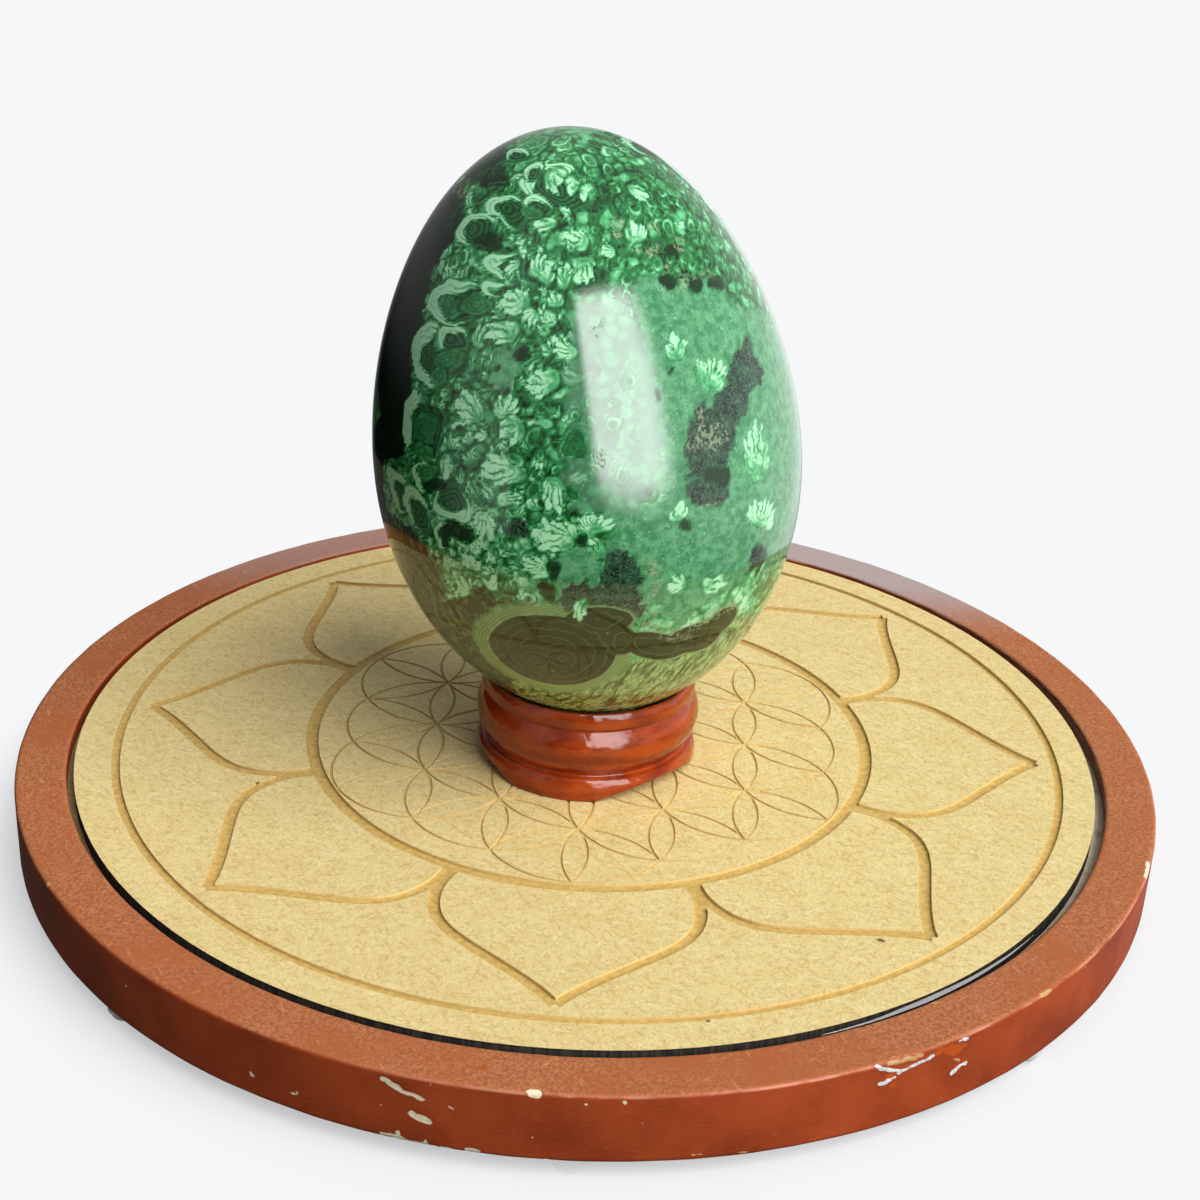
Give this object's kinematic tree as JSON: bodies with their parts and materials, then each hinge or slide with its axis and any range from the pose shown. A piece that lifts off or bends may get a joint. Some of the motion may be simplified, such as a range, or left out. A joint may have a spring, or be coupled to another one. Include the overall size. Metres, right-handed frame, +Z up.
{
  "type": "decorative egg on stand",
  "caption": "Polished green stone egg that leans in a turned, lacquered ring stand, on an engraved round board laid into a framed mirror.",
  "frame": {"origin": "on the table, under the middle of the round frame", "axes": "+Z up; the picture looks along +Y from the -Y side; the egg leans to -X"},
  "size_m": [0.2224, 0.2224, 0.138],
  "materials": {
    "green_stone": "polished, banded",
    "red_lacquer": "gloss lacquer",
    "fibreboard": "raw, engraved",
    "brown_paint": "satin paint, chipped",
    "mirror": "silvered",
    "backing_wood": "raw",
    "steel": "zinc plated",
    "rubber": "matt"
  },
  "bodies": {
    "frame": {"board_frame": "brown_paint", "mirror_glass": "mirror", "backing_board": "backing_wood", "button_screws": "steel", "bumper_pads": "rubber"},
    "disc": {"grid_disc": "fibreboard"},
    "ring": {"ring_stand": "red_lacquer"},
    "egg": {"malachite_egg": "green_stone"},
    "button_1": {"turn_button_1": "steel"},
    "button_2": {"turn_button_2": "steel"},
    "button_3": {"turn_button_3": "steel"},
    "button_4": {"turn_button_4": "steel"}
  },
  "joints": [
    {"name": "disc_lift", "type": "slide", "parent": "frame", "child": "disc", "axis": [0, 0, 1], "range_m": [0, 0.04]},
    {"name": "ring_lift", "type": "slide", "parent": "disc", "child": "ring", "axis": [0, 0, 1], "range_m": [0, 0.04]},
    {"name": "egg_lift", "type": "slide", "parent": "ring", "child": "egg", "axis": [0, 0, 1], "range_m": [0, 0.06]},
    {"name": "button_1_turn", "type": "hinge", "parent": "frame", "child": "button_1", "pos_m": [0.07633, 0.07633, 0.0024], "axis": [0, 0, 1], "continuous": true},
    {"name": "button_2_turn", "type": "hinge", "parent": "frame", "child": "button_2", "pos_m": [-0.07633, 0.07633, 0.0024], "axis": [0, 0, 1], "continuous": true},
    {"name": "button_3_turn", "type": "hinge", "parent": "frame", "child": "button_3", "pos_m": [-0.07633, -0.07633, 0.0024], "axis": [0, 0, 1], "continuous": true},
    {"name": "button_4_turn", "type": "hinge", "parent": "frame", "child": "button_4", "pos_m": [0.07633, -0.07633, 0.0024], "axis": [0, 0, 1], "continuous": true}
  ]
}
